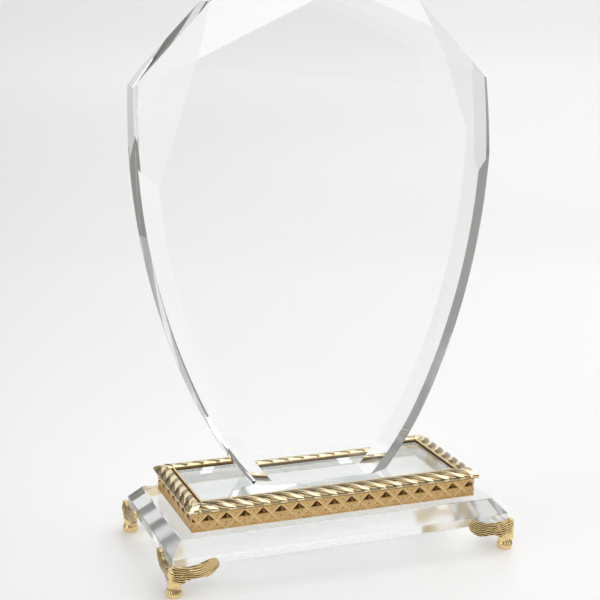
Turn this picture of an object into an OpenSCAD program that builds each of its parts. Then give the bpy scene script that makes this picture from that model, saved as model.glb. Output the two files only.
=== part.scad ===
// Crystal award: a shield-shaped crystal plaque bonded to a crystal block,
// which a gilt gallery frame surrounds, on a bevelled crystal slab with four
// cast gilt corner feet. Millimetres, +Z up, origin on the table surface
// below the middle of the base. The facetted face of the plaque looks to -Y.

/* [Lower slab] */
// Width of the lower slab
slab_w = 180; // [150:1:220]
// Depth of the lower slab
slab_d = 93; // [80:1:120]
// Thickness of the lower slab
slab_h = 11.5; // [9:0.5:18]
// Height of the upright edge below the bevel
slab_edge_h = 4.7; // [3:0.1:6]
// How far the bevel runs in over the top
slab_bevel = 6.2; // [4:0.1:9]
// Gap between the table and the underside of the slab
slab_z = 14.5; // [12:0.5:18]

/* [Gallery frame] */
// Width over the upright bands
frame_w = 153.2; // [130:0.2:160]
// Depth over the upright bands
frame_d = 66.4; // [60:0.2:72]
// Wall thickness of the bands
band_t = 2.8; // [2:0.1:4]
// Height of the bands below the moulding
band_h = 10.4; // [8:0.1:14]
// How far the moulding stands out past the bands
moulding_out = 2.8; // [1:0.1:4]
// Full width of the moulding, from its inner lip to its outer edge
moulding_w = 10.4; // [8:0.1:13]
// Distance between neighbouring diamonds of the pattern
diamond_pitch = 9.5; // [8:0.1:11]
// How far the pattern is shifted along each rail from its middle
diamond_shift = 2.9; // [0:0.1:4]
// Depth of the three-cornered pockets in the diamonds' upper halves
pocket_depth = 0.9; // [0.3:0.1:1.5]

/* [Upper block] */
// Height of the crystal block inside the frame
block_h = 11.4; // [10:0.1:12]
// Clearance between the block and the frame
block_gap = 0.3; // [0.1:0.1:0.6]
// Thickness of each adhesive film
bond_t = 0.2; // [0.1:0.05:0.3]

/* [Plaque] */
// Thickness of the plaque
plaque_t = 28; // [22:1:32]
// Depth of the bevels along the curved sides, measured in from each face
bevel_depth = 5; // [3:0.5:7]
// Width of the bevels along the curved sides
bevel_w = 8; // [6:0.5:10]
// Depth of the front facets at the upper edges, measured back from the front
facet_depth = 11; // [8:0.5:14]
// Largest half width of the plaque
plaque_half_w = 94.3; // [80:0.1:100]
// Height of the widest point of the plaque
widest_z = 225; // [215:1:230]
// Radius of the long upper side curve
side_r = 350; // [320:5:400]
// Radius of the tighter curve above the plaque's foot
lower_r = 178; // [160:2:200]
// Angle below level at which the two side curves meet
curve_change = 25.4; // [22:0.2:27]
// Height of the upper side corners
corner_z = 242; // [236:1:246]
// Half width and height at which the corner cuts meet the roof slopes
shoulder = [55, 282.3];
// Half width and height of the inner points of the corner facets
facet_point = [64.5, 255.6];
// Half width and height at which the side facets run out
runout = [84, 198];
// Rise of the roof slopes for each millimetre towards the middle
roof_rise = 0.4605; // [0.3:0.01:0.6]

/* [Feet] */
// Length of each arm along the edge of the slab
arm_len = 23; // [18:1:30]
// Thickness of the arms outside the slab
arm_t = 2.6; // [2:0.1:4]
// Gap between the arms and the upright edge of the slab
arm_gap = 0.2; // [0.1:0.1:0.4]
// Thickness of the shelf under the slab
shelf_t = 2.6; // [2:0.1:4]
// Length of the shelf under the slab
shelf_len = 13; // [8:1:18]
// Radius of the flat pad under each paw
pad_r = 3.8; // [3:0.1:5]

/* [Hidden] */
$fn = 180;

// Anything larger than the award, for the cutting tools
big = 1000;

slab_top = slab_z + slab_h;
block_z = slab_top + bond_t;
block_top = block_z + block_h;
plaque_z = block_top + bond_t;
block_w = frame_w - 2 * (band_t + block_gap);
block_d = frame_d - 2 * (band_t + block_gap);

band_top = slab_top + band_h;
moulding_x = frame_w / 2 + moulding_out;
moulding_y = frame_d / 2 + moulding_out;

// The long side curve is centred at long_c, the short one at short_c, in
// x and z for the right-hand side. They meet at curve_change with one tangent.
long_c = [plaque_half_w - side_r, widest_z];
short_c = long_c + (side_r - lower_r) * [cos(curve_change), -sin(curve_change)];
foot_half_w = short_c[0]
    + sqrt(lower_r * lower_r - pow(short_c[1] - plaque_z, 2));

front_y = -plaque_t / 2;
facet_y = front_y + facet_depth;
// Half the thickness left between the two bevels
edge_half_t = plaque_t / 2 - bevel_depth;
// How much deeper the side facets start at the corner than the facets above
corner_step = 0.1;
apex_z = shoulder[1] + roof_rise * shoulder[0];
corner = [long_c[0] + sqrt(side_r * side_r - pow(corner_z - widest_z, 2)), corner_z];
roof_inner_z = facet_point[1] + roof_rise * facet_point[0];

crystal = [0.86, 0.90, 0.92, 0.45];
film = [0.95, 0.95, 0.88, 0.5];
gilt = [0.85, 0.62, 0.20];

// ---- helpers ----

function unit(v) = v / norm(v);

// The four corners, as signs of x and y
CORNERS = [[-1, -1], [1, -1], [-1, 1], [1, 1]];

// Everything on the outer side of the plane through three points. The outer
// side is the one that the point out lies on.
module outside_of(a, b, c, out) {
    raw = unit(cross(b - a, c - a));
    n = raw * (out - a) > 0 ? raw : -raw;
    translate(a)
        rotate([0, acos(n[2]), atan2(n[1], n[0])])
            translate([-big / 2, -big / 2, 0])
                cube(big);
}

// A solid on both sides of the middle plane x = 0
module both_sides() {
    children();
    mirror([1, 0, 0]) children();
}

// ---- plaque ----

// The plaque's edge before the facets are cut: the outline with a flat top
// on each side of the roof, square to its faces
module plaque_blank() {
    slope = (shoulder[1] - corner[1]) / (corner[0] - shoulder[0]);
    wide = corner[0] + 6;
    wide_z = corner[1] - slope * (wide - corner[0]);
    translate([0, plaque_t / 2, 0])
        rotate([90, 0, 0])
            linear_extrude(plaque_t)
                polygon([[-wide, plaque_z], [wide, plaque_z], [wide, wide_z],
                         shoulder, [0, apex_z], [-shoulder[0], shoulder[1]],
                         [-wide, wide_z]]);
}

// A drum with a ground cone at both ends, standing for one side curve
module ground_drum(centre, r) {
    half_t = plaque_t / 2;
    translate([centre[0], 0, centre[1]])
        rotate([90, 0, 0])
            rotate_extrude($fn = 720)
                polygon([[0, -half_t], [r - bevel_w, -half_t], [r, -edge_half_t],
                         [r, edge_half_t], [r - bevel_w, half_t], [0, half_t]]);
}

// The half space above the line on which the two side curves meet
module above_change() {
    translate([long_c[0], 0, long_c[1]])
        rotate([0, curve_change, 0])
            translate([-big / 2, -big / 2, 0])
                cube(big);
}

// All that lies inside the right-hand edge of the plaque and its two bevels
module inside_right_edge() {
    intersection() {
        ground_drum(long_c, side_r);
        above_change();
    }
    difference() {
        ground_drum(short_c, lower_r);
        above_change();
    }
}

module plaque() {
    front = [0, -big, corner_z];
    corner_p = [corner[0], facet_y, corner[1]];
    side_corner_p = corner_p + [0, corner_step, 0];
    shoulder_p = [shoulder[0], facet_y, shoulder[1]];
    facet_p = [facet_point[0], front_y, facet_point[1]];
    runout_p = [runout[0], front_y, runout[1]];
    roof_p = [0, front_y, roof_inner_z];
    color(crystal)
        difference() {
            intersection() {
                plaque_blank();
                inside_right_edge();
                mirror([1, 0, 0]) inside_right_edge();
            }
            both_sides() {
                outside_of(shoulder_p, facet_p, roof_p, front);
                outside_of(corner_p, shoulder_p, facet_p, front);
                outside_of(side_corner_p, facet_p, runout_p, front);
            }
        }
}

// ---- crystal base ----

module slab_edge_outline(inset) {
    square([slab_w - 2 * inset, slab_d - 2 * inset], center = true);
}

// The slab is a block with its four upper edges cut away on a slope
module lower_slab() {
    bevel_z = slab_z + slab_edge_h;
    color(crystal)
        difference() {
            translate([0, 0, slab_z])
                linear_extrude(slab_h) slab_edge_outline(0);
            for (side = [-1, 1]) {
                outside_of([side * slab_w / 2, 0, bevel_z],
                           [side * slab_w / 2, 1, bevel_z],
                           [side * (slab_w / 2 - slab_bevel), 0, slab_top],
                           [side * big, 0, big]);
                outside_of([0, side * slab_d / 2, bevel_z],
                           [1, side * slab_d / 2, bevel_z],
                           [0, side * (slab_d / 2 - slab_bevel), slab_top],
                           [0, side * big, big]);
            }
        }
}

module upper_block() {
    color(crystal)
        translate([-block_w / 2, -block_d / 2, block_z])
            cube([block_w, block_d, block_h]);
}

module block_bond() {
    color(film)
        translate([-block_w / 2, -block_d / 2, slab_top])
            cube([block_w, block_d, bond_t]);
}

// The film under the plaque, as wide as the plaque's flat foot between its
// bevels
module plaque_bond() {
    color(film)
        translate([-foot_half_w, -edge_half_t, block_top])
            cube([2 * foot_half_w, 2 * edge_half_t, bond_t]);
}

// ---- gallery frame ----

// Section of a rail: u runs outwards from the moulding's inner lip and v is
// the height above the slab
function rail_section() =
    let (
        face_u = moulding_w - moulding_out,
        wall_u = face_u - band_t,
        lip_v = band_h + 1.3
    ) [
        [wall_u, 0], [face_u, 0],
        [face_u, band_h - 0.9],
        [moulding_w - 0.7, band_h + 0.2], [moulding_w, band_h + 0.9],
        [moulding_w - 1.2, band_h + 2.6], [moulding_w - 3.8, band_h + 3.7],
        [2.6, band_h + 3.7], [0.8, band_h + 3.1], [0, band_h + 2.5],
        [0, lip_v], [wall_u, lip_v]
    ];

// A straight rail along x, with its outer edge at -y and mitred ends
module rail(half_len, half_depth, diamonds) {
    face_y = -(half_depth - moulding_out);
    difference() {
        intersection() {
            translate([-half_len, -half_depth + moulding_w, slab_top])
                rotate([90, 0, 90])
                    mirror([1, 0, 0])
                        linear_extrude(2 * half_len) polygon(rail_section());
            translate([0, 0, slab_top - 1])
                linear_extrude(band_h + 6)
                    polygon([[-half_len, -half_depth], [half_len, -half_depth],
                             [half_len - moulding_w, -half_depth + moulding_w],
                             [-half_len + moulding_w, -half_depth + moulding_w]]);
        }
        for (i = [0 : diamonds - 1])
            translate([(i - (diamonds - 1) / 2) * diamond_pitch + diamond_shift,
                       face_y, slab_top + band_h / 2])
                diamond_pocket();
    }
}

// The upper half of a diamond, sunk into the outer face of a band
module diamond_pocket() {
    half_w = diamond_pitch / 2 - 1;
    rotate([90, 0, 0])
        translate([0, 0, -pocket_depth])
            linear_extrude(2 * pocket_depth)
                polygon([[-half_w, 0], [half_w, 0], [0, half_w]]);
}

front_diamonds = floor(frame_w / diamond_pitch);
side_diamonds = floor(frame_d / diamond_pitch);

module rail_front() {
    color(gilt) rail(moulding_x, moulding_y, front_diamonds);
}

module rail_back() {
    color(gilt) rotate(180) rail(moulding_x, moulding_y, front_diamonds);
}

module rail_left() {
    color(gilt) rotate(-90) rail(moulding_y, moulding_x, side_diamonds);
}

module rail_right() {
    color(gilt) rotate(90) rail(moulding_y, moulding_x, side_diamonds);
}

// ---- feet ----

// Outline of one arm: s runs along the slab's edge from its corner, v is the
// height above the table
function arm_outline() = [
    [0, 5], [6, 8.2], [0.62 * arm_len, 9.2], [0.88 * arm_len, 12],
    [arm_len, 15.6], [0.93 * arm_len, 18.2], [0.72 * arm_len, 17.6],
    [0.42 * arm_len, 15.6], [-arm_t, 16.6], [-arm_t, 8]
];

// One arm along the x direction of the right-hand back corner
module foot_arm() {
    translate([0, arm_gap + arm_t, 0])
        rotate([90, 0, 0])
            linear_extrude(arm_t + arm_gap)
                mirror([1, 0, 0])
                    translate([-arm_gap, 0])
                        polygon(arm_outline());
}

// A turned leg with a rounded paw and a flat pad
module foot_leg() {
    leg_top = slab_z - bond_t;
    leg_r = 4.4;
    rotate_extrude($fn = 96)
        polygon([[0, 0], [pad_r, 0], [leg_r + 0.2, 1.2], [leg_r + 0.2, 2.6],
                 [leg_r - 0.6, 4.6], [leg_r - 0.4, 7.2], [leg_r, 9.4],
                 [leg_r, leg_top], [0, leg_top]]);
}

// The foot of the right-hand back corner, with that corner of the slab at the
// origin of its own coordinates
module corner_foot() {
    shelf_z = slab_z - bond_t - shelf_t;
    difference() {
        union() {
            foot_arm();
            mirror([1, -1, 0]) foot_arm();
            translate([-leg_in[0], -leg_in[1], 0]) foot_leg();
            translate([-shelf_len, -shelf_len, shelf_z])
                cube([shelf_len + arm_gap + arm_t, shelf_len + arm_gap + arm_t, shelf_t]);
        }
        // room for the slab's corner and the film under it
        translate([-big + arm_gap, -big + arm_gap, slab_z - bond_t])
            cube(big);
        // clears the inner corner of the shelf
        translate([-shelf_len - 1, -shelf_len - 1, shelf_z - 1])
            rotate(45)
                cube([2 * shelf_len, shelf_len, shelf_t + 2], center = true);
    }
}

// How far the leg's axis lies inside the slab's edges
leg_in = [0.8, 1.4];

// Puts a foot made for the right-hand back corner at another corner
module at_corner(signs) {
    mirror([signs[0] < 0 ? 1 : 0, 0, 0])
        mirror([0, signs[1] < 0 ? 1 : 0, 0])
            translate([slab_w / 2, slab_d / 2, 0])
                children();
}

module foot_front_left() {
    color(gilt) at_corner([-1, -1]) corner_foot();
}

module foot_front_right() {
    color(gilt) at_corner([1, -1]) corner_foot();
}

module foot_back_left() {
    color(gilt) at_corner([-1, 1]) corner_foot();
}

module foot_back_right() {
    color(gilt) at_corner([1, 1]) corner_foot();
}

// The film between each foot's shelf and the slab
module foot_bonds() {
    film_side = 8;
    color(film)
        for (signs = CORNERS)
            at_corner(signs)
                translate([-film_side, -film_side, slab_z - bond_t])
                    cube([film_side, film_side, bond_t]);
}

plaque();
plaque_bond();
upper_block();
block_bond();
lower_slab();
rail_front();
rail_back();
rail_left();
rail_right();
foot_front_left();
foot_front_right();
foot_back_left();
foot_back_right();
foot_bonds();
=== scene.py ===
"""Looks of the crystal award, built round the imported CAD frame. Lengths are in metres."""
import math

import bmesh
import bpy
import numpy as np
from mathutils import Matrix, Vector


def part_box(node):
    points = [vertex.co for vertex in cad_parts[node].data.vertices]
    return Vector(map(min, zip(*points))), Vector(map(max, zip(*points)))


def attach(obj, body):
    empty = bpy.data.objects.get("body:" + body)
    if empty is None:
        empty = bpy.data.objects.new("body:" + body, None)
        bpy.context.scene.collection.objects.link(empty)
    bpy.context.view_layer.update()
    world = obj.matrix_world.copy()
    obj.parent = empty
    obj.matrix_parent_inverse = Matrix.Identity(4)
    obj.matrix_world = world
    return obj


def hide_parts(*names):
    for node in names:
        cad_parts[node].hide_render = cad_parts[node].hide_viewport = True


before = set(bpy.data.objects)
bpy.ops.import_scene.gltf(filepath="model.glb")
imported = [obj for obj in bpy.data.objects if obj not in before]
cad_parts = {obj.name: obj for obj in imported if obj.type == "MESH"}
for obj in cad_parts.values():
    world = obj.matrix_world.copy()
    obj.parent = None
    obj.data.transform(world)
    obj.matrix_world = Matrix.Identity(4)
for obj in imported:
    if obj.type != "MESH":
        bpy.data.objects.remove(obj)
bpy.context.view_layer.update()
MM = 0.001

# ---------------------------------------------------------------- helpers


def new_material(name):
    """An empty node material: its tree and its output node."""
    mat = bpy.data.materials.new(name)
    mat.use_nodes = True
    tree = mat.node_tree
    tree.nodes.clear()
    out = tree.nodes.new("ShaderNodeOutputMaterial")
    return mat, tree, out


def principled(tree, out, **values):
    """A Principled shader with its plain socket values set."""
    node = tree.nodes.new("ShaderNodeBsdfPrincipled")
    for key, value in values.items():
        node.inputs[key.replace("_", " ")].default_value = value
    tree.links.new(node.outputs["BSDF"], out.inputs["Surface"])
    return node


def node_of(tree, kind, **values):
    """A node with its sockets set by name; a socket name's spaces are written as underscores."""
    node = tree.nodes.new(kind)
    for key, value in values.items():
        node.inputs[key.replace("_", " ")].default_value = value
    return node


def mixed(tree, factor, first, second):
    """A colour mix: factor is an output socket, first and second are sockets or plain colours."""
    node = tree.nodes.new("ShaderNodeMix")
    node.data_type = "RGBA"
    tree.links.new(factor, node.inputs["Factor"])
    for name, value in (("A", first), ("B", second)):
        socket = next(i for i in node.inputs if i.name == name and i.type == "RGBA")
        if isinstance(value, tuple):
            socket.default_value = value
        else:
            tree.links.new(value, socket)
    return next(o for o in node.outputs if o.type == "RGBA")


def combined(tree, operation, first, second):
    """The result of a Math node with two sockets as its inputs."""
    node = tree.nodes.new("ShaderNodeMath")
    node.operation = operation
    tree.links.new(first, node.inputs[0])
    tree.links.new(second, node.inputs[1])
    return node.outputs["Value"]


def switched(tree, switch, first, second, out):
    """Sends the shader node first to the output where switch is 0, and second where it is 1."""
    mix = tree.nodes.new("ShaderNodeMixShader")
    tree.links.new(switch, mix.inputs["Fac"])
    tree.links.new(first.outputs["BSDF"], mix.inputs[1])
    tree.links.new(second.outputs["BSDF"], mix.inputs[2])
    tree.links.new(mix.outputs["Shader"], out.inputs["Surface"])


def ranged(tree, value, low, high, start=0.0, end=1.0):
    """The socket value taken from start..end to low..high."""
    node = node_of(tree, "ShaderNodeMapRange", From_Min=start, From_Max=end, To_Min=low, To_Max=high)
    tree.links.new(value, node.inputs["Value"])
    return node.outputs["Result"]


def crystal_material(name, ior, smear, satin=0.0):
    """Polished clear glass. Lamp light passes straight through it instead of casting a black shadow.
    smear is the roughness that faint polishing marks reach, and satin that of the underside."""
    mat, tree, out = new_material(name)
    glass = node_of(tree, "ShaderNodeBsdfPrincipled", IOR=ior, Transmission_Weight=1.0,
                    Base_Color=(0.985, 0.995, 0.99, 1))
    coords = tree.nodes.new("ShaderNodeTexCoord")
    marks = node_of(tree, "ShaderNodeTexNoise", Scale=55.0, Detail=4.0, Distortion=0.6)
    ripple = node_of(tree, "ShaderNodeTexNoise", Scale=9.0, Detail=1.0)
    for texture in (marks, ripple):
        tree.links.new(coords.outputs["Object"], texture.inputs["Vector"])
    polish = ranged(tree, marks.outputs["Fac"], 0.0, smear, 0.5, 0.75)
    facing = tree.nodes.new("ShaderNodeNewGeometry")
    split = tree.nodes.new("ShaderNodeSeparateXYZ")
    tree.links.new(facing.outputs["True Normal"], split.inputs["Vector"])
    # met from inside, a face's normal is turned inwards, so the underside is the face whose normal points up
    level = ranged(tree, split.outputs["Z"], 0.0, satin, 0.95, 0.99)
    underside = combined(tree, "MULTIPLY", level, facing.outputs["Backfacing"])
    tree.links.new(combined(tree, "ADD", polish, underside), glass.inputs["Roughness"])
    bump = node_of(tree, "ShaderNodeBump", Strength=0.02, Distance=0.0005)
    tree.links.new(ripple.outputs["Fac"], bump.inputs["Height"])
    tree.links.new(bump.outputs["Normal"], glass.inputs["Normal"])
    clear = node_of(tree, "ShaderNodeBsdfTransparent", Color=(0.94, 0.95, 0.945, 1))
    path = tree.nodes.new("ShaderNodeLightPath")
    switched(tree, path.outputs["Is Shadow Ray"], glass, clear, out)
    return mat


MATT_ROUGHNESS = 0.42


def gilt_material(name, bright, matt, shade_and_speck, grain_scale, shine):
    """Gilt casting. The mesh's own values say where it is matt and how much painted shade it takes.
    Where they ask for it, the colour is mixed towards a dark colour that stands in for the shade in
    recesses; the grain's specks lean towards the same colour. shine is the roughness of the bright parts."""
    mat, tree, out = new_material(name)
    gold = principled(tree, out, Metallic=1.0)
    coords = tree.nodes.new("ShaderNodeTexCoord")
    matt_part = tree.nodes.new("ShaderNodeAttribute")
    matt_part.attribute_name = "matt"
    cavity = tree.nodes.new("ShaderNodeAttribute")
    cavity.attribute_name = "cavity"
    tone = node_of(tree, "ShaderNodeTexNoise", Scale=90.0, Detail=3.0)
    grain = node_of(tree, "ShaderNodeTexNoise", Scale=grain_scale, Detail=2.0, Roughness=0.6)
    for texture in (tone, grain):
        tree.links.new(coords.outputs["Object"], texture.inputs["Vector"])
    body = mixed(tree, matt_part.outputs["Fac"], bright, matt)
    speck = ranged(tree, grain.outputs["Fac"], 0.0, 0.6, 0.52, 0.66)
    specked = mixed(tree, combined(tree, "MULTIPLY", speck, matt_part.outputs["Fac"]), body, shade_and_speck)
    patchy = mixed(tree, ranged(tree, tone.outputs["Fac"], 0.0, 0.25, 0.35, 0.7), specked, matt)
    # painted shade: recesses, grooves and sides turned from the light are coloured towards the dark shade
    # colour
    colour = mixed(tree, cavity.outputs["Fac"], patchy, shade_and_speck)
    tree.links.new(colour, gold.inputs["Base Color"])
    rough = combined(tree, "ADD", ranged(tree, matt_part.outputs["Fac"], shine, MATT_ROUGHNESS),
                     ranged(tree, tone.outputs["Fac"], -0.03, 0.05, 0.3, 0.7))
    tree.links.new(rough, gold.inputs["Roughness"])
    bump = node_of(tree, "ShaderNodeBump", Distance=0.0002)
    tree.links.new(ranged(tree, matt_part.outputs["Fac"], 0.04, 0.8), bump.inputs["Strength"])
    tree.links.new(grain.outputs["Fac"], bump.inputs["Height"])
    tree.links.new(bump.outputs["Normal"], gold.inputs["Normal"])
    return mat


def set_material(obj, mat):
    obj.data.materials.clear()
    obj.data.materials.append(mat)


def object_from_bmesh(name, bm):
    mesh = bpy.data.meshes.new(name)
    bm.to_mesh(mesh)
    bm.free()
    obj = bpy.data.objects.new(name, mesh)
    bpy.context.collection.objects.link(obj)
    return obj


# ---------------------------------------------------------------- plaque

PLAQUE_LOW, PLAQUE_HIGH = (Vector(c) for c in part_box("plaque"))
FRONT_Y, BACK_Y = PLAQUE_LOW.y, PLAQUE_HIGH.y
FOOT_Z, HALF_W = PLAQUE_LOW.z, PLAQUE_HIGH.x
# the rest of its measures are those of the CAD solid; pairs are x, z
FACET_DEPTH = 11 * MM
BEVEL_DEPTH, BEVEL_W = 5 * MM, 8 * MM
WIDEST_Z, CORNER_Z = 225 * MM, 242 * MM
SIDE_R, LOWER_R = 350 * MM, 178 * MM
CURVE_CHANGE = math.radians(25.4)
SHOULDER = (55 * MM, 282.3 * MM)
FACET_POINT = (64.5 * MM, 255.6 * MM)
RUNOUT = (84 * MM, 198 * MM)
ROOF_RISE = 0.4605
ARC_STEP = 1.1 * MM
FOOT_STEPS = 8
HALVINGS = 50
TINY = 1e-9


def plaque_rings():
    """The right-hand edge from the foot to the corner. Each ring is the outline point, the inward
    unit normal, and how far inwards the bevel starts there (more than 0 only below the outline,
    where the flat foot cuts the bevel off)."""
    long_c = Vector((HALF_W - SIDE_R, WIDEST_Z))
    short_c = long_c + (SIDE_R - LOWER_R) * Vector((math.cos(CURVE_CHANGE), -math.sin(CURVE_CHANGE)))
    drop = short_c.y - FOOT_Z
    foot_angle = -math.asin(drop / LOWER_R)
    last_angle = -math.asin(drop / (LOWER_R - BEVEL_W))
    top_angle = math.asin((CORNER_Z - WIDEST_Z) / SIDE_R)
    arcs = [(short_c, LOWER_R, last_angle, foot_angle, FOOT_STEPS),
            (short_c, LOWER_R, foot_angle, -CURVE_CHANGE, 0),
            (long_c, SIDE_R, -CURVE_CHANGE, top_angle, 0)]
    rings = []
    for centre, r, start, end, steps in arcs:
        steps = steps or round(r * (end - start) / ARC_STEP)
        for i in range(1 if rings else 0, steps + 1):
            a = start + (end - start) * i / steps
            out = Vector((math.cos(a), math.sin(a)))
            cut = r - drop / -math.sin(a) if a < foot_angle - TINY else 0.0
            rings.append((centre + r * out, -out, cut))
    return rings


def plane_through(a, b, c):
    """For a plane through three (x, y, z) points, the function y(x, z)."""
    n = (b - a).cross(c - a)
    return lambda x, z: a.y - (n.x * (x - a.x) + n.z * (z - a.z)) / n.y


def build_plaque():
    """The plaque, with each half's faces made from the same rings and joined at the middle."""
    facet_y = FRONT_Y + FACET_DEPTH
    rings = plaque_rings()
    corner = rings[-1][0]
    corner_p = Vector((corner.x, facet_y, corner.y))
    shoulder_p = Vector((SHOULDER[0], facet_y, SHOULDER[1]))
    facet_p = Vector((FACET_POINT[0], FRONT_Y, FACET_POINT[1]))
    runout_p = Vector((RUNOUT[0], FRONT_Y, RUNOUT[1]))
    roof_inner = Vector((0, FRONT_Y, FACET_POINT[1] + ROOF_RISE * FACET_POINT[0]))
    roof_outer = Vector((0, facet_y, SHOULDER[1] + ROOF_RISE * SHOULDER[0]))
    side_plane = plane_through(corner_p, facet_p, runout_p)

    def bevel_depth(s):
        return BEVEL_DEPTH * (1 - s / BEVEL_W)

    def facet_depth(q):
        return side_plane(q.x, q.y) - FRONT_Y

    # each ring of the front: outer point and depth, inner point and depth
    front = []
    for point, inward, cut in rings:
        low, high = cut, BEVEL_W
        outer = point + inward * cut
        if facet_depth(outer) > bevel_depth(cut):
            front.append((outer, facet_depth(outer), outer, facet_depth(outer)))
            continue
        for _ in range(HALVINGS):
            s = (low + high) / 2
            if bevel_depth(s) > max(facet_depth(point + inward * s), 0):
                low = s
            else:
                high = s
        q = point + inward * low
        front.append((outer, bevel_depth(cut), q, max(facet_depth(q), 0)))

    # the back bevel ends on the slanted edge above the corner
    slant = Vector(SHOULDER) - corner
    last_inward = rings[-1][1]
    back_corner = corner + slant * (BEVEL_W / slant.dot(last_inward))

    bm = bmesh.new()
    for side in (1, -1):
        def v(x, y, z):
            return bm.verts.new((side * x, y, z))
        outer = [v(p.x, FRONT_Y + d, p.y) for p, d, _, _ in front]
        inner = [v(q.x, FRONT_Y + d, q.y) for _, _, q, d in front]
        back_outer = []
        back_inner = []
        for k, (point, inward, cut) in enumerate(rings):
            p = point + inward * cut
            q = back_corner if k == len(rings) - 1 else point + inward * BEVEL_W
            back_outer.append(v(p.x, BACK_Y - bevel_depth(cut), p.y))
            back_inner.append(v(q.x, BACK_Y, q.y))
        shoulder_b = v(SHOULDER[0], BACK_Y, SHOULDER[1])
        shoulder = v(*shoulder_p)
        facet = v(*facet_p)
        apex_b, apex, roof = v(0, BACK_Y, roof_outer.z), v(*roof_outer), v(*roof_inner)
        foot_b, foot = v(0, BACK_Y, FOOT_Z), v(0, FRONT_Y, FOOT_Z)
        n = len(rings)
        first_side = next(k for k in range(n) if rings[k][2] == 0)
        last_free = max(k for k in range(n) if front[k][3] <= TINY)
        smooth = []
        for k in range(n - 1):
            smooth.append([back_inner[k], back_inner[k + 1], back_outer[k + 1], back_outer[k]])
            smooth.append([outer[k], outer[k + 1], inner[k + 1], inner[k]])
            if k >= first_side:
                smooth.append([back_outer[k], back_outer[k + 1], outer[k + 1], outer[k]])
        flat = [
            [foot_b] + back_inner + [shoulder_b, apex_b],
            [foot] + inner[:last_free + 1] + [facet, roof],
            inner[last_free:] + [facet],
            [inner[-1], shoulder, facet],
            [shoulder, apex, roof, facet],
            [back_outer[-1], back_inner[-1], shoulder_b, shoulder, outer[-1]],
            [shoulder_b, apex_b, apex, shoulder],
            [foot_b] + back_outer[:first_side + 1] + outer[first_side::-1] + [foot],
        ]
        for corners in smooth:
            bm.faces.new(corners).smooth = True
        for corners in flat:
            bm.faces.new(corners)
    bmesh.ops.remove_doubles(bm, verts=bm.verts, dist=1e-7)
    bmesh.ops.recalc_face_normals(bm, faces=bm.faces)
    # join the two halves of each flat face that crosses the middle
    middle = [e for e in bm.edges if all(abs(w.co.x) < 1e-8 for w in e.verts)
              and len(e.link_faces) == 2
              and e.link_faces[0].normal.dot(e.link_faces[1].normal) > 0.9999]
    bmesh.ops.dissolve_edges(bm, edges=middle, use_verts=False)
    for e in bm.edges:
        e.smooth = (len(e.link_faces) == 2 and all(f.smooth for f in e.link_faces)
                    and e.link_faces[0].normal.dot(e.link_faces[1].normal) > 0.99)
    return object_from_bmesh("plaque_crystal", bm)


# ---------------------------------------------------------------- crystal base

CHAMFER = 0.25 * MM
FILM_INSET = 2 * CHAMFER
# a film stops this far short of the faces on both sides of it, so they reflect as they do in air
FILM_GAP = 0.02 * MM


def polished_block(name, layers, chamfer=CHAMFER):
    """A block from rectangles stacked in z: each layer is (half width, half depth, z)."""
    bm = bmesh.new()
    rings = [[bm.verts.new((sx * w, sy * d, z)) for sx, sy in ((-1, -1), (1, -1), (1, 1), (-1, 1))]
             for w, d, z in layers]
    bm.faces.new(rings[0][::-1])
    bm.faces.new(rings[-1])
    for low, high in zip(rings, rings[1:]):
        for i in range(4):
            j = (i + 1) % 4
            bm.faces.new([low[i], low[j], high[j], high[i]])
    if chamfer:
        bmesh.ops.bevel(bm, geom=bm.edges[:], offset=chamfer, segments=1, affect="EDGES")
    return object_from_bmesh(name, bm)


def half_size(node):
    """Half the node's width and depth, and the heights of its bottom and top."""
    low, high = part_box(node)
    return (high[0] - low[0]) / 2, (high[1] - low[1]) / 2, low[2], high[2]


CRYSTAL_IOR, ADHESIVE_IOR = 1.52, 1.51
CRYSTAL = crystal_material("crystal", CRYSTAL_IOR, smear=0.012)
# the slab's bevels mirror its underside, which a little satin lightens
SLAB_CRYSTAL = crystal_material("crystal_satin_underside", CRYSTAL_IOR, smear=0.012, satin=0.11)
ADHESIVE = crystal_material("adhesive", ADHESIVE_IOR, smear=0.03)
GILT_RAIL = gilt_material("gilt_rail", bright=(0.94, 0.80, 0.51, 1), matt=(0.83, 0.525, 0.215, 1),
                          shade_and_speck=(0.075, 0.036, 0.011, 1), grain_scale=1700.0, shine=0.12)
GILT_FOOT = gilt_material("gilt_foot", bright=(0.95, 0.74, 0.38, 1), matt=(0.80, 0.52, 0.20, 1),
                          shade_and_speck=(0.060, 0.028, 0.008, 1), grain_scale=1500.0, shine=0.15)
SLAB_BEVEL, SLAB_EDGE = 6.2 * MM, 4.7 * MM


def place(obj, node, mat):
    """Puts the object in the place of a CAD node, with its material."""
    set_material(obj, mat)
    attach(obj, "root")
    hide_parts(node)


def place_film(name, node):
    """A clear film in the place of a bond, a little smaller than the CAD solid on every side."""
    w, d, low, high = half_size(node)
    w, d = w - FILM_INSET, d - FILM_INSET
    film = polished_block(name, [(w, d, low + FILM_GAP), (w, d, high - FILM_GAP)], chamfer=0)
    place(film, node, ADHESIVE)


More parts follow.
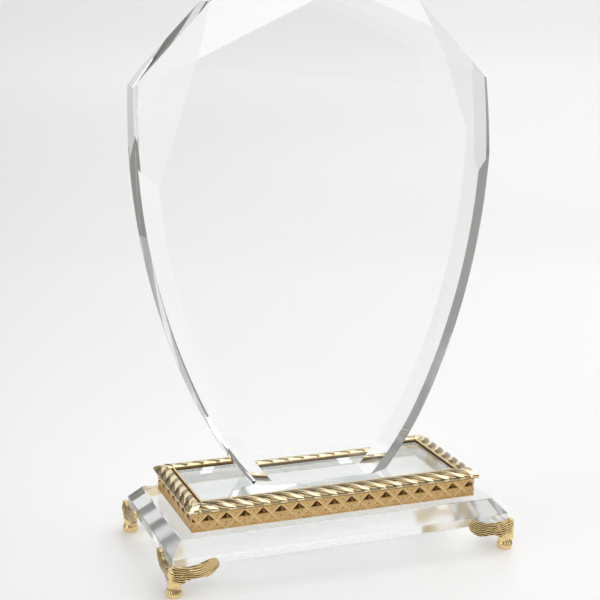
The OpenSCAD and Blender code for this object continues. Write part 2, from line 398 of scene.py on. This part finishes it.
SLAB_W, SLAB_D, SLAB_LOW, SLAB_HIGH = half_size("lower_slab")
slab = polished_block("slab_crystal", [(SLAB_W, SLAB_D, SLAB_LOW), (SLAB_W, SLAB_D, SLAB_LOW + SLAB_EDGE),
                                       (SLAB_W - SLAB_BEVEL, SLAB_D - SLAB_BEVEL, SLAB_HIGH)])
place(slab, "lower_slab", SLAB_CRYSTAL)
BLOCK_W, BLOCK_D, BLOCK_LOW, BLOCK_HIGH = half_size("upper_block")
block = polished_block("block_crystal", [(BLOCK_W, BLOCK_D, BLOCK_LOW), (BLOCK_W, BLOCK_D, BLOCK_HIGH)])
place(block, "upper_block", CRYSTAL)
place_film("block_film", "block_bond")
place(build_plaque(), "plaque", CRYSTAL)
place_film("plaque_film", "plaque_bond")

# ---------------------------------------------------------------- gallery rails

FRAME_LOW, FRAME_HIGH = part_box("rail_front")
RAIL_BASE, RAIL_TOP = FRAME_LOW[2], FRAME_HIGH[2]
RAIL_HALF_X, RAIL_HALF_Y = FRAME_HIGH[0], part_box("rail_left")[1][1]
# all other lengths of the rails are in mm
LOBE_PITCH, LOBE_HEIGHT, LOBE_SLANT, LOBE_BEND = 8.9, 1.05, 8.5, 0.9
LEAF_W = 5.2
BEAD_PITCH, BEAD_R, BEAD_IN, BEAD_UP = 1.5, 0.58, 9.55, 13.2
BEAD_RINGS, BEAD_SIDES = 5, 8
DIAMOND_PITCH, DIAMOND_SHIFT, DIAMOND_HALF_H = 9.5, 2.9, 4.5
BAND_MID, BAND_TOP = 5.0, 9.3
# raised lines along the band: how far up, and their half width
BAND_LINES = ((9.0, 0.2), (0.5, 0.3))
POCKET_HALF_W, POCKET_H, POCKET_LIP = 3.55, 3.4, 0.25
RAIL_STEP, PLAIN_STEP = 0.22, 2.0
SECTION_SMOOTHINGS = 12
SHORT_RAIL_PHASE = 2.0
EDGE_CLEARANCE = 0.02

# the rail's section: how far in from the outer edge, how far up, and what the stretch after it is
SECTION = [(2.85, 0.05, "band"), (2.85, 9.3, "band"), (2.2, 9.7, "band"), (1.4, 9.95, "lobe"),
           (1.1, 10.5, "lobe"), (1.5, 11.3, "lobe"), (2.6, 12.2, "lobe"), (4.2, 12.85, "lobe"),
           (6.0, 13.0, "lobe"), (7.6, 12.8, "lobe"), (8.5, 12.7, "ledge"), (10.0, 12.75, "ledge"),
           (10.35, 12.5, "ledge"), (10.35, 11.75, "ledge"), (5.6, 11.75, "back"), (5.55, 0.05, "back")]


def smoothstep(a, b, x):
    """0 at a, 1 at b, and smooth between."""
    t = np.clip((x - a) / (b - a), 0, 1)
    return t * t * (3 - 2 * t)


def section_samples():
    """Points along SECTION about RAIL_STEP apart, their outward normals, the share of the lobed part
    passed so far (below 0 on the band, above 1 on the ledge), and the name of each one's stretch."""
    corners = SECTION + SECTION[:1]
    points, names = [], []
    for (a, b, kind), (c, e, _) in zip(corners, corners[1:]):
        step = PLAIN_STEP if kind == "back" else RAIL_STEP
        count = max(1, round(math.hypot(c - a, e - b) / step))
        for i in range(count):
            points.append((a + (c - a) * i / count, b + (e - b) * i / count))
            names.append(kind)
    pts = np.array(points)
    start = names.index("lobe")
    end = names.index("ledge")
    # round the corners of the lobed part
    for _ in range(SECTION_SMOOTHINGS):
        inner = pts[start:end].copy()
        inner[1:-1] = (inner[:-2] + 2 * inner[1:-1] + inner[2:]) / 4
        pts[start:end] = inner
    run = np.concatenate([[0], np.cumsum(np.hypot(*np.diff(pts, axis=0).T))])
    share = (run - run[start]) / (run[end] - run[start])
    tangent = np.roll(pts, -1, axis=0) - np.roll(pts, 1, axis=0)
    tangent /= np.linalg.norm(tangent, axis=1)[:, None]
    normal = np.stack([-tangent[:, 1], tangent[:, 0]], axis=1)
    return pts, normal, share, np.array(names)


def band_relief(u, up):
    """Relief of the lattice on a band, in mm outwards, the painted shade each point takes in the
    pockets and hollows, and how polished it is: the ridges are rubbed bright."""
    centre = (np.floor((u - DIAMOND_SHIFT) / DIAMOND_PITCH) + 0.5) * DIAMOND_PITCH + DIAMOND_SHIFT
    x = u - centre
    y = up - BAND_MID
    half = DIAMOND_PITCH / 2
    # roughly the distance from the diamond's edge
    edge = (np.abs(x) / half + np.abs(y) / DIAMOND_HALF_H - 1) * 3.2
    bright = np.exp(-(edge / 0.30) ** 2)
    dimple = np.zeros_like(bright)
    relief = 0.18 * bright
    for line_up, line_w in BAND_LINES:
        relief += 0.14 * np.exp(-((up - line_up) / line_w) ** 2)
    # ringed dimples
    for cx, cy, r in ((half, 2.5, 0.75), (-half, 2.5, 0.75), (half, -2.3, 0.8), (-half, -2.3, 0.8),
                      (0, -1.7, 0.8), (1.75, -1.0, 0.45), (-1.75, -1.0, 0.45)):
        ring = np.hypot(x - cx, y - cy)
        rim = np.exp(-((ring - r) / 0.2) ** 2)
        hollow = np.exp(-(ring / (0.55 * r)) ** 2)
        relief += 0.2 * rim - 0.14 * hollow
        bright = np.maximum(bright, 0.8 * rim)
        # painted shade in each dimple's hollow
        dimple = np.maximum(dimple, 0.75 * hollow)
    # the pocket in the upper half, with a ridge down its middle
    reach = POCKET_HALF_W * (1 - (y - 0.1) / POCKET_H)
    inside = smoothstep(0, POCKET_LIP, reach - np.abs(x)) * smoothstep(0, POCKET_LIP, y - 0.1)
    slope = np.clip(np.abs(x) / np.maximum(reach, 0.3), 0, 1)
    relief = relief * (1 - inside) - inside * (0.25 + 0.85 * slope)
    # painted shade in the pocket, darker on its left half, which is turned from the light
    pocket = inside * np.where(x < 0, 1.0, 0.55 + 0.4 * slope)
    return relief, np.maximum(pocket, dimple * (1 - inside)), bright * (1 - inside)


def lobe_relief(u, share, to_mitre):
    """Relief of the slanted lobes and of the leaf at each mitre, in mm outwards, and the painted shade
    each point takes: in the grooves, round the leaf and in the crease where the lobes start. The left
    side of each lobe, turned from the light, takes painted shade as well."""
    bend = LOBE_BEND * np.sin((share - 0.5) * math.pi * 1.3)
    phase = (u + LOBE_SLANT * share + bend) / LOBE_PITCH
    across = 2 * (phase - np.floor(phase)) - 1
    lobe = np.sqrt(np.clip(1 - across ** 2, 0, 1))
    groove = smoothstep(0.86, 0.99, np.abs(across))
    # painted shade on the left side of each lobe, which is turned from the light
    flank_shade = smoothstep(-0.98, -0.80, across) * smoothstep(0.22, -0.12, across)
    leaf_w = LEAF_W * (1.05 - 0.75 * share)
    leaf_across = np.clip(to_mitre / leaf_w, 0, 1.6)
    leaf = 0.25 + 0.75 * np.sqrt(np.clip(1 - leaf_across ** 2, 0, 1)) * (0.6 + 0.4 * leaf_across)
    leaf_groove = np.exp(-((leaf_across - 1.0) / 0.10) ** 2)
    on_leaf = smoothstep(1.02, 0.98, leaf_across)
    ends = smoothstep(0.0, 0.12, share) * smoothstep(1.0, 0.80, share)
    relief = (lobe * (1 - on_leaf) + leaf * on_leaf) * LOBE_HEIGHT * (0.25 + 0.75 * ends)
    cavity = np.maximum(groove * 0.8, flank_shade * 0.76 * ends) * (1 - on_leaf)
    cavity = np.maximum(cavity, leaf_groove * 0.7)
    # painted shade also in the crease where the lobed part meets the band
    return relief, np.maximum(cavity, 0.8 * np.exp(-(share / 0.045) ** 2))


def build_rail(name, half_len, phase_shift):
    """The mesh of a rail along x whose outer edge lies at y = 0 and whose body runs to +y, with
    mitred ends. phase_shift moves its lobes along, in mm."""
    pts, normal, share, names = section_samples()
    half = half_len / MM
    columns = int(2 * half / RAIL_STEP)
    s = np.linspace(-1, 1, columns + 1)[:, None]
    inward, up = pts[:, 0][None, :], pts[:, 1][None, :]
    u = s * (half - inward)
    to_mitre = (half - inward) - np.abs(u)
    band, lobed = (names == "band")[None, :], (names == "lobe")[None, :]
    band_h, band_shade, band_bright = band_relief(u + 0 * up, up + 0 * u)
    lobe_h, lobe_shade = lobe_relief(u + phase_shift, share[None, :] + 0 * u, to_mitre)
    on_face = band & (up < BAND_TOP)
    height = np.where(on_face, band_h, 0) + np.where(lobed, lobe_h, 0)
    cavity = np.where(on_face, band_shade, 0) + np.where(lobed, lobe_shade, 0)
    # painted shade: the strip of band above the lattice and the ledge along the inner lip are darkened as if
    # in shade
    cavity = np.where(band & ~on_face, 0.6, cavity)
    cavity = np.where((names == "ledge")[None, :], 0.92, cavity)
    cavity = np.clip(cavity, 0, 1)
    inward = np.clip(inward + normal[:, 0][None, :] * height, EDGE_CLEARANCE, None)
    up = np.clip(up + normal[:, 1][None, :] * height, SECTION[0][1],
                 (RAIL_TOP - RAIL_BASE) / MM - EDGE_CLEARANCE)
    u = s * (half - inward)
    rows = len(pts)
    verts = np.stack([u, inward, up], axis=2).reshape(-1, 3) * MM
    i, j = np.meshgrid(np.arange(columns), np.arange(rows), indexing="ij")
    k = (j + 1) % rows
    faces = np.stack([i * rows + j, (i + 1) * rows + j, (i + 1) * rows + k, i * rows + k], axis=2)
    faces = faces.reshape(-1, 4).tolist()
    faces.append(list(range(rows)))
    faces.append([columns * rows + n for n in range(rows)][::-1])
    matt = np.where(on_face, 1 - 0.65 * band_bright, 1.0)
    matt = np.where(np.broadcast_to(lobed, u.shape), 0.0, matt)
    matt = np.where(np.broadcast_to((names == "ledge")[None, :], u.shape), 0.6, matt)
    # the row of beads along the inner lip
    ball_v, ball_f = ball(BEAD_R)
    gaps = int(2 * (half - BEAD_IN) / BEAD_PITCH)
    points = [verts]
    base = len(verts)
    for n in range(gaps + 1):
        at = np.array([(n - gaps / 2) * BEAD_PITCH, BEAD_IN, BEAD_UP])
        points.append((ball_v + at) * MM)
        faces.extend([[base + q for q in f] for f in ball_f])
        base += len(ball_v)
    extra = base - len(verts)
    mesh = bpy.data.meshes.new(name)
    mesh.from_pydata(np.concatenate(points).tolist(), [], faces)
    # the painted shade values go to the material; the beads take none
    add_values(mesh, cavity=np.append(cavity.reshape(-1), np.zeros(extra)),
               matt=np.append(matt.reshape(-1), np.full(extra, 0.15)))
    mesh.polygons.foreach_set("use_smooth", [len(f) <= 4 for f in faces])
    mesh.update()
    return mesh


def ball(r):
    """Points and faces of a small ball."""
    rings, sides = BEAD_RINGS, BEAD_SIDES
    verts = [(0, 0, r)]
    for i in range(1, rings):
        a = math.pi * i / rings
        for k in range(sides):
            turn = 2 * math.pi * k / sides
            verts.append((r * math.sin(a) * math.cos(turn), r * math.sin(a) * math.sin(turn),
                          r * math.cos(a)))
    verts.append((0, 0, -r))
    last = len(verts) - 1
    faces = [[0, 1 + k, 1 + (k + 1) % sides] for k in range(sides)]
    for i in range(rings - 2):
        a, b = 1 + i * sides, 1 + (i + 1) * sides
        faces += [[a + k, b + k, b + (k + 1) % sides, a + (k + 1) % sides] for k in range(sides)]
    a = 1 + (rings - 2) * sides
    faces += [[a + k, last, a + (k + 1) % sides] for k in range(sides)]
    return np.array(verts), faces


def add_values(mesh, **values):
    """Stores named values on the mesh's points, for its material to read."""
    for key, array in values.items():
        layer = mesh.attributes.new(key, "FLOAT", "POINT")
        layer.data.foreach_set("value", array.astype(np.float32))


def put_rail(node, mesh, turn, outer):
    """A rail turned by so many degrees, with its outer edge that far from the middle."""
    obj = bpy.data.objects.new(node + "_gilt", mesh)
    bpy.context.collection.objects.link(obj)
    obj.matrix_world = (Matrix.Rotation(math.radians(turn), 4, "Z")
                        @ Matrix.Translation((0, -outer, RAIL_BASE)))
    place(obj, node, GILT_RAIL)


long_rail = build_rail("long_rail", RAIL_HALF_X, 0.0)
short_rail = build_rail("short_rail", RAIL_HALF_Y, SHORT_RAIL_PHASE)
put_rail("rail_front", long_rail, 0, RAIL_HALF_Y)
put_rail("rail_back", long_rail.copy(), 180, RAIL_HALF_Y)
put_rail("rail_left", short_rail, -90, RAIL_HALF_X)
put_rail("rail_right", short_rail.copy(), 90, RAIL_HALF_X)

# ---------------------------------------------------------------- feet

FOOT_LOW, FOOT_HIGH = (np.array(c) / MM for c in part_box("foot_back_right"))
SLAB_CORNER = np.array([SLAB_W, SLAB_D]) / MM
# lengths of the feet are in mm, measured from the slab's corner; the foot for the right-hand back
# corner is built, and the others are its mirror images
SHELF_TOP, SHELF_THICKNESS, SHELF_REACH, SHELF_CUT = SLAB_LOW / MM - 0.27, 2.3, 12.5, 11
FOOT_VOXEL, FOOT_SMOOTHINGS = 0.2, 7
SLAB_CLEARANCE = 0.25
LEG_AT = (-0.8, -1.4)
LEG_SIDES = 40
# an arm's outline: along the slab's edge from its corner, and up from the table
ARM_TOP = [(-2.5, 16.4), (1.0, 16.0), (4.5, 15.3), (8.0, 15.0), (12.0, 15.5), (16.0, 16.8), (19.5, 17.9),
           (21.6, 17.6)]
ARM_TIP = [(22.7, 16.2), (22.9, 14.6), (22.2, 12.8)]
ARM_UNDER = [(20.4, 11.0), (17.6, 9.4), (14.6, 8.7), (11.6, 9.1), (8.6, 8.8), (5.6, 7.6), (2.0, 6.0),
             (-2.5, 5.6)]
ARM_INNER, ARM_OUTER = 0.3, 2.3
# bellies along an arm: how far along, how high, half length and half height
BELLIES = ((4.5, 12.0, 6.0, 2.6), (12.0, 12.1, 7.0, 2.5), (18.3, 14.0, 4.4, 3.0))
BELLY_DEPTH, BELLY_SUNK = 1.05, 0.7
TOE_ANGLES, TOE_OUT, TOE_UP, TOE_RADII = (-28, 12, 52, 92, 125), 2.65, 2.0, (1.55, 1.55, 1.95)
# the leg: how high, and its radius there
LEG_PROFILE = [(0.0, 3.3), (0.5, 3.9), (1.6, 4.15), (2.8, 4.1), (4.2, 3.55), (6.0, 3.35), (8.0, 3.5),
               (10.0, 3.8), (14.0, 4.0)]
GROOVE_PITCH, GROOVE_DEPTH = 1.08, 0.42
HATCH_PITCH, HATCH_DEPTH = 1.3, 0.34
FOOT_MATT = 0.12


def add_prism(bm, outline, to_point, near, far):
    """A closed prism; to_point(a, b, c) places outline point (a, b) at depth c."""
    front = [bm.verts.new(to_point(a, b, far)) for a, b in outline]
    back = [bm.verts.new(to_point(a, b, near)) for a, b in outline]
    count = len(outline)
    bm.faces.new(front)
    bm.faces.new(back[::-1])
    for i in range(count):
        j = (i + 1) % count
        bm.faces.new([back[i], back[j], front[j], front[i]])


def add_ball(bm, centre, radii):
    """An ellipsoid with the three radii."""
    verts = bmesh.ops.create_uvsphere(bm, u_segments=24, v_segments=16, radius=1.0)["verts"]
    for v in verts:
        v.co = Vector(centre) + Vector((v.co.x * radii[0], v.co.y * radii[1], v.co.z * radii[2]))


def foot_body():
    """The plain shape of a foot, with its slab corner at the origin, as overlapping closed shells."""
    bm = bmesh.new()
    outline = ARM_TOP + ARM_TIP + ARM_UNDER
    add_prism(bm, outline, lambda s, z, c: (-s, c, z), ARM_INNER, ARM_OUTER)
    add_prism(bm, outline, lambda s, z, c: (c, -s, z), ARM_INNER, ARM_OUTER)
    for s, z, half_len, half_h in BELLIES:
        add_ball(bm, (-s, ARM_OUTER - BELLY_SUNK, z), (half_len, BELLY_DEPTH, half_h))
        add_ball(bm, (ARM_OUTER - BELLY_SUNK, -s, z), (BELLY_DEPTH, half_len, half_h))
    # the knee, where the arms meet over the leg
    add_ball(bm, (0.6, 0.6, 12.6), (2.7, 2.7, 3.6))
    sides = LEG_SIDES
    rings = [[(LEG_AT[0] + r * math.cos(2 * math.pi * k / sides),
               LEG_AT[1] + r * math.sin(2 * math.pi * k / sides), z) for k in range(sides)]
             for z, r in LEG_PROFILE]
    made = [[bm.verts.new(p) for p in ring] for ring in rings]
    bm.faces.new(made[0][::-1])
    bm.faces.new(made[-1])
    for low, high in zip(made, made[1:]):
        for k in range(sides):
            m = (k + 1) % sides
            bm.faces.new([low[k], low[m], high[m], high[k]])
    # the toes of the paw
    for angle in TOE_ANGLES:
        a = math.radians(angle)
        toe = (LEG_AT[0] + TOE_OUT * math.cos(a), LEG_AT[1] + TOE_OUT * math.sin(a), TOE_UP)
        add_ball(bm, toe, TOE_RADII)
    # the shelf under the slab's corner
    far, cut, near = -SHELF_REACH, SHELF_CUT - SHELF_REACH, 1.5
    shelf = [(far, cut), (far, near), (near, near), (near, far), (cut, far)]
    add_prism(bm, shelf, lambda x, y, z: (x, y, z), SHELF_TOP - SHELF_THICKNESS, SHELF_TOP)
    bmesh.ops.recalc_face_normals(bm, faces=bm.faces)
    return object_from_bmesh("foot_shape", bm)


def foot_relief(p, n):
    """Height of the chasing at each point and the painted shade it takes in its grooves and hatch cuts."""
    along_x = p[:, 0] < p[:, 1]
    s = np.where(along_x, -p[:, 0], -p[:, 1])
    z = p[:, 2]
    # the grooves' course along an arm: down from the knee, then up towards the tip
    flow = 12.4 - 3.0 * (1 - np.exp(-np.clip(s + 1, 0, None) / 4.5))
    flow += 5.0 * np.clip((s - 11) / 12, 0, None) ** 2
    wave = 0.20 * np.sin(0.6 * s + 0.7 * z) + 0.07 * np.sin(1.9 * s - 0.9 * z)
    turn = 2 * math.pi * (z - flow + wave) / GROOVE_PITCH
    groove = (0.5 + 0.5 * np.cos(turn)) ** 1.7
    knots = 0.5 + 0.5 * np.sin(2.1 * s + 1.3 * np.sin(1.7 * z))
    outward = np.clip(np.where(along_x, n[:, 1], n[:, 0]) * 0.7 + 0.6, 0, 1)
    on_arm = smoothstep(8.0, 9.8, z + 0.45 * np.clip(s, 0, 6)) * outward * smoothstep(-2.2, 0.4, s)
    height = -GROOVE_DEPTH * groove * on_arm * (0.8 + 0.2 * knots)
    # painted shade along the grooves
    cavity = 1.4 * groove * on_arm * (0.8 + 0.2 * knots)
    # hatch cuts across the paw, on the outward side
    out = (p[:, 0] - LEG_AT[0]) + (p[:, 1] - LEG_AT[1])
    round_leg = np.arctan2(p[:, 1] - LEG_AT[1], p[:, 0] - LEG_AT[0]) * 4.0
    cut = (0.5 + 0.5 * np.cos(2 * math.pi * (round_leg + 0.6 * z) / HATCH_PITCH)) ** 1.8
    paw = smoothstep(2.0, 2.8, z) * smoothstep(5.6, 4.4, z) * smoothstep(1.0, 3.0, out)
    height -= HATCH_DEPTH * cut * paw
    # painted shade in the hatch cuts
    cavity += 1.2 * cut * paw
    return height, np.clip(cavity, 0, 1)


def foot_mesh():
    """Points, faces and painted shade values of a chased foot for the right-hand back corner."""
    shape = foot_body()
    remesh = shape.modifiers.new("skin", "REMESH")
    remesh.mode = "VOXEL"
    remesh.voxel_size = FOOT_VOXEL
    soften = shape.modifiers.new("soften", "SMOOTH")
    soften.factor, soften.iterations = 0.5, FOOT_SMOOTHINGS
    ready = shape.evaluated_get(bpy.context.evaluated_depsgraph_get())
    mesh = bpy.data.meshes.new_from_object(ready)
    count = len(mesh.vertices)
    p, n = np.empty(count * 3, np.float32), np.empty(count * 3, np.float32)
    mesh.vertices.foreach_get("co", p)
    mesh.vertex_normals.foreach_get("vector", n)
    p, n = p.reshape(-1, 3).astype(float), n.reshape(-1, 3).astype(float)
    faces = [tuple(f.vertices) for f in mesh.polygons]
    height, cavity = foot_relief(p, n)
    p += n * height[:, None]
    # keep clear of the slab: below it over the shelf, and outside it along the arms
    under_slab = (p[:, 0] < SLAB_CLEARANCE) & (p[:, 1] < SLAB_CLEARANCE)
    p[:, 2] = np.where(under_slab, np.minimum(p[:, 2], SHELF_TOP), p[:, 2])
    beside_x = (p[:, 2] > SHELF_TOP + 0.01) & (p[:, 0] < SLAB_CLEARANCE)
    beside_y = (p[:, 2] > SHELF_TOP + 0.01) & (p[:, 1] < SLAB_CLEARANCE)
    p[:, 1] = np.where(beside_x, np.maximum(p[:, 1], SLAB_CLEARANCE), p[:, 1])
    p[:, 0] = np.where(beside_y & ~beside_x, np.maximum(p[:, 0], SLAB_CLEARANCE), p[:, 0])
    p[:, :2] += SLAB_CORNER
    p = np.clip(p, FOOT_LOW + EDGE_CLEARANCE, FOOT_HIGH - EDGE_CLEARANCE)
    # the sole is flat
    p[:, 2] = np.where(p[:, 2] < 0.15, EDGE_CLEARANCE, p[:, 2])
    bpy.data.objects.remove(shape)
    bpy.data.meshes.remove(mesh)
    return p, faces, cavity


foot_p, foot_f, foot_shade = foot_mesh()
for node, sx, sy in (("foot_front_left", -1, -1), ("foot_front_right", 1, -1),
                     ("foot_back_left", -1, 1), ("foot_back_right", 1, 1)):
    mesh = bpy.data.meshes.new(node)
    facing = foot_f if sx * sy > 0 else [f[::-1] for f in foot_f]
    mesh.from_pydata((foot_p * (sx * MM, sy * MM, MM)).tolist(), [], facing)
    add_values(mesh, cavity=foot_shade, matt=np.full(len(foot_shade), FOOT_MATT))
    mesh.polygons.foreach_set("use_smooth", [True] * len(facing))
    obj = bpy.data.objects.new(node + "_gilt", mesh)
    bpy.context.collection.objects.link(obj)
    place(obj, node, GILT_FOOT)

FILM_SIDE, FILM_EDGE = 7.5 * MM, 0.5 * MM


def foot_films():
    """A film on each foot's shelf, all four in one object."""
    bm = bmesh.new()
    low, high = (corner[2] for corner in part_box("foot_bonds"))
    for sx in (-1, 1):
        for sy in (-1, 1):
            for v in bmesh.ops.create_cube(bm, size=1.0)["verts"]:
                v.co = Vector((sx * (SLAB_W - FILM_EDGE - FILM_SIDE * (0.5 + v.co.x)),
                               sy * (SLAB_D - FILM_EDGE - FILM_SIDE * (0.5 + v.co.y)),
                               (low + high) / 2 + v.co.z * (high - low - 2 * FILM_GAP)))
    bmesh.ops.recalc_face_normals(bm, faces=bm.faces)
    return object_from_bmesh("foot_films", bm)


place(foot_films(), "foot_bonds", ADHESIVE)

# every CAD node is replaced, and still gets the material of what it stands for
for name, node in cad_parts.items():
    if name.startswith("rail"):
        set_material(node, GILT_RAIL)
    elif name.startswith("foot") and name != "foot_bonds":
        set_material(node, GILT_FOOT)
    else:
        set_material(node, CRYSTAL)

# ---------------------------------------------------------------- stage


def paper_material():
    """Matt white paper that is only there from its lit side, so that it hides nothing from behind."""
    mat, tree, out = new_material("paper")
    paper = principled(tree, out, Roughness=0.35, Emission_Strength=0.17)
    paper.inputs["Base Color"].default_value = (0.78, 0.78, 0.79, 1)
    paper.inputs["Emission Color"].default_value = (1, 1, 1, 1)
    clear = tree.nodes.new("ShaderNodeBsdfTransparent")
    side = tree.nodes.new("ShaderNodeNewGeometry")
    switched(tree, side.outputs["Backfacing"], paper, clear, out)
    return mat


CAMERA_TURN = math.radians(-20.16)
SWEEP_START, SWEEP_R, WALL_TOP = 0.70, 0.25, 2.4
WALL_LEFT, WALL_RIGHT, FLOOR_HALF, FLOOR_FRONT = -0.42, 1.10, 2.2, -3.0
SWEEP_STEPS = 24


def build_stage():
    """A table sheet, square to the camera, that narrows and sweeps up into a wall behind the award.
    The plaque's right-hand bevel shows the dim room past the wall's left edge as its dark band."""
    # y, z, left end and right end
    profile = [(FLOOR_FRONT, 0, -FLOOR_HALF, FLOOR_HALF), (-0.1, 0, -FLOOR_HALF, FLOOR_HALF),
               (0.1, 0, WALL_LEFT, FLOOR_HALF), (SWEEP_START - 0.1, 0, WALL_LEFT, FLOOR_HALF)]
    for i in range(SWEEP_STEPS + 1):
        a = math.pi / 2 * i / SWEEP_STEPS
        profile.append((SWEEP_START + SWEEP_R * math.sin(a), SWEEP_R * (1 - math.cos(a)),
                        WALL_LEFT, WALL_RIGHT))
    profile.append((SWEEP_START + SWEEP_R, WALL_TOP, WALL_LEFT, WALL_RIGHT))
    verts = [(x, y, z) for y, z, left, right in profile for x in (left, right)]
    faces = [(2 * i, 2 * i + 1, 2 * i + 3, 2 * i + 2) for i in range(len(profile) - 1)]
    mesh = bpy.data.meshes.new("sheet")
    mesh.from_pydata(verts, [], faces)
    for poly in mesh.polygons:
        poly.use_smooth = True
    obj = bpy.data.objects.new("sheet", mesh)
    bpy.context.collection.objects.link(obj)
    obj.rotation_euler.z = CAMERA_TURN
    set_material(obj, paper_material())


build_stage()


def area_light(name, at, target, size, power):
    data = bpy.data.lights.new(name, "AREA")
    data.shape = "RECTANGLE"
    data.size, data.size_y = size
    data.energy = power
    obj = bpy.data.objects.new(name, data)
    bpy.context.collection.objects.link(obj)
    obj.location = at
    obj.rotation_euler = (Vector(target) - Vector(at)).to_track_quat("-Z", "Y").to_euler()


area_light("top_box", (0.70, 0.05, 1.35), (0.0, 0.0, 0), (1.3, 1.4), 10)
area_light("front_box", (-0.4, -1.6, 1.7), (0.25, 0.9, 0.75), (2.2, 1.3), 21)
area_light("left_card", (-1.2, -0.1, 0.55), (0, 0, 0), (0.9, 0.7), 2.5)

world = bpy.data.worlds.new("studio")
bpy.context.scene.world = world
world.use_nodes = True
# the room is dim where the crystal mirrors or bends it into view, and pale where it shows past the sheet
room = world.node_tree
seen = room.nodes.new("ShaderNodeLightPath").outputs["Is Camera Ray"]
room.links.new(mixed(room, seen, (0.28, 0.28, 0.265, 1), (0.78, 0.78, 0.79, 1)),
               room.nodes["Background"].inputs["Color"])

# ---------------------------------------------------------------- camera

camera_data = bpy.data.cameras.new("camera")
camera = bpy.data.objects.new("camera", camera_data)
bpy.context.collection.objects.link(camera)
bpy.context.scene.camera = camera
camera_data.sensor_width = 36
camera_data.lens = 88.4
camera_data.shift_x = -0.0155
camera_data.shift_y = -0.0745
camera.location = (-0.2578, -0.6937, 0.2986)
camera.rotation_euler = (math.radians(90 - 11.09), 0, CAMERA_TURN)

bpy.context.scene.view_settings.view_transform = "Standard"
bpy.context.scene.cycles.max_bounces = 24
bpy.context.scene.cycles.transmission_bounces = 24
bpy.context.scene.cycles.glossy_bounces = 12
